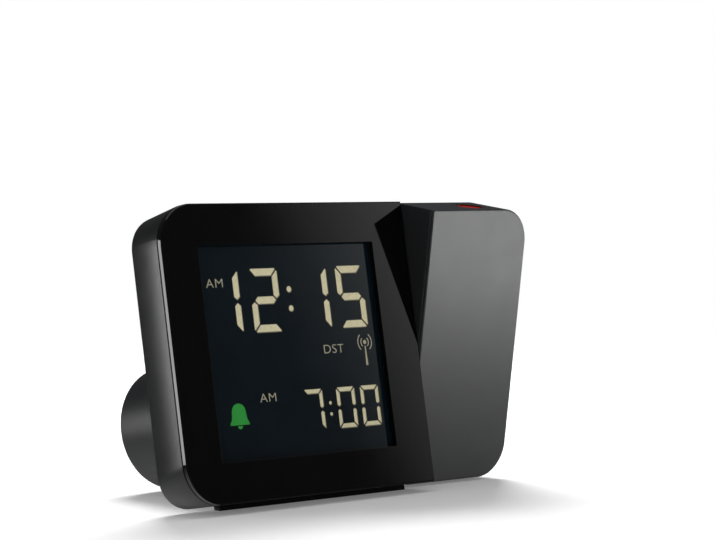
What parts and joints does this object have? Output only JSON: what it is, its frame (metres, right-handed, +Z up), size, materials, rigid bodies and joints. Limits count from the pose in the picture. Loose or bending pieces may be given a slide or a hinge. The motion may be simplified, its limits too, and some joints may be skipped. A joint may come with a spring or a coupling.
{
  "type": "projection alarm clock",
  "caption": "Leaning alarm clock: a display body on a foot strip and a rear drum, with a projector head that swivels about a tube in the body's side.",
  "frame": {"origin": "centre of the bounding box in plan, on the surface that the clock stands on", "axes": "+X to the right along the clock's width, +Y away from the viewer towards the rear drum, +Z up"},
  "size_m": [0.1379, 0.0639, 0.0859],
  "materials": {
    "gloss_black_abs": "high-gloss moulded",
    "satin_dark_abs": "fine spark-eroded satin",
    "black_key_plastic": "satin",
    "display_glass": "polished, dark negative display",
    "clear_light_guide": "clear moulded acrylic",
    "circuit_board": "solder mask",
    "switch_metal": "bright",
    "ferrite_and_wire": "lacquered copper winding on ferrite",
    "brass_sounder": "plain",
    "cell_jacket": "printed film",
    "steel_screw": "zinc plated",
    "rubber": "matt",
    "acetal_bush": "turned",
    "spring_steel": "bright",
    "pivot_steel": "turned",
    "satin_head_abs": "fine satin",
    "inner_black": "moulded",
    "optical_clear": "polished",
    "red_lens": "polished red acrylic",
    "picture_glass": "polished",
    "red_led": "moulded epoxy"
  },
  "bodies": {
    "clock_body": {"front_bezel": "gloss_black_abs", "rear_case": "satin_dark_abs", "display_glass": "display_glass", "display_holder": "inner_black", "light_guide": "clear_light_guide", "main_board": "circuit_board", "key_switches": "switch_metal", "snooze_switch": "switch_metal", "antenna_rod": "ferrite_and_wire", "sounder": "brass_sounder", "power_inlet": "inner_black", "drum_housing": "satin_dark_abs", "drum_lock_ring": "spring_steel", "cell_cradle": "inner_black", "battery_cells": "cell_jacket", "battery_contacts": "spring_steel", "case_screws": "steel_screw", "front_foot": "rubber", "rear_foot": "rubber", "pivot_bush": "acetal_bush", "spring_washer": "spring_steel"},
    "projector_head": {"pivot_tube": "pivot_steel", "retaining_clip": "spring_steel", "head_cover": "satin_head_abs", "head_shell": "satin_head_abs", "head_screws": "steel_screw", "projector_housing": "inner_black", "led_board": "circuit_board", "projector_led": "red_led", "condenser_lens": "optical_clear", "picture_lcd": "picture_glass", "lens_surround": "gloss_black_abs", "lens_window": "red_lens", "flip_switch": "circuit_board"},
    "lens_carrier": {"lens_barrel": "inner_black", "barrel_lens": "optical_clear"},
    "focus_wheel": {"focus_wheel": "black_key_plastic", "focus_pinion": "acetal_bush"},
    "snooze_bar": {"snooze_bar": "black_key_plastic"},
    "set_button": {"set_button": "black_key_plastic"},
    "mode_button": {"mode_button": "black_key_plastic"},
    "plus_button": {"plus_button": "black_key_plastic"},
    "minus_button": {"minus_button": "black_key_plastic"},
    "alarm_switch": {"alarm_switch": "black_key_plastic"},
    "battery_cap": {"battery_cap": "satin_dark_abs"},
    "flip_button": {"flip_button": "black_key_plastic"}
  },
  "joints": [
    {"name": "head_swivel", "type": "hinge", "parent": "clock_body", "child": "projector_head", "pos_m": [0.02605, -0.01841, 0.04056], "axis": [1, 0, 0], "range_deg": [-107.5, 72.5]},
    {"name": "focus_turn", "type": "hinge", "parent": "projector_head", "child": "focus_wheel", "pos_m": [0.06755, -0.02071, 0.0695], "axis": [1, 0, 0], "range_deg": [-28, 28]},
    {"name": "lens_slide", "type": "slide", "parent": "projector_head", "child": "lens_carrier", "axis": [0, -0.1305, 0.9914], "range_m": [-0.00147, 0.00147]},
    {"name": "snooze_press", "type": "slide", "parent": "clock_body", "child": "snooze_bar", "axis": [0, -0.1736, -0.9848], "range_m": [0, 0.0008], "stiffness_N_per_m": 400},
    {"name": "set_press", "type": "slide", "parent": "clock_body", "child": "set_button", "axis": [0, -0.9848, 0.1736], "range_m": [0, 0.0006], "stiffness_N_per_m": 500},
    {"name": "mode_press", "type": "slide", "parent": "clock_body", "child": "mode_button", "axis": [0, -0.9848, 0.1736], "range_m": [0, 0.0006], "stiffness_N_per_m": 500},
    {"name": "plus_press", "type": "slide", "parent": "clock_body", "child": "plus_button", "axis": [0, -0.9848, 0.1736], "range_m": [0, 0.0006], "stiffness_N_per_m": 500},
    {"name": "minus_press", "type": "slide", "parent": "clock_body", "child": "minus_button", "axis": [0, -0.9848, 0.1736], "range_m": [0, 0.0006], "stiffness_N_per_m": 500},
    {"name": "alarm_slide", "type": "slide", "parent": "clock_body", "child": "alarm_switch", "axis": [1, 0, 0], "range_m": [0, 0.003]},
    {"name": "cap_turn", "type": "hinge", "parent": "clock_body", "child": "battery_cap", "pos_m": [-0.02675, 0.02891, 0.01813], "axis": [0, 0.9848, -0.1736], "range_deg": [0, 45]},
    {"name": "flip_press", "type": "slide", "parent": "projector_head", "child": "flip_button", "axis": [0, -0.9914, -0.1305], "range_m": [0, 0.0006], "stiffness_N_per_m": 500}
  ],
  "couplings": [
    {"joint": "focus_turn", "follows": "lens_slide", "rad_per_m": -333.33}
  ]
}
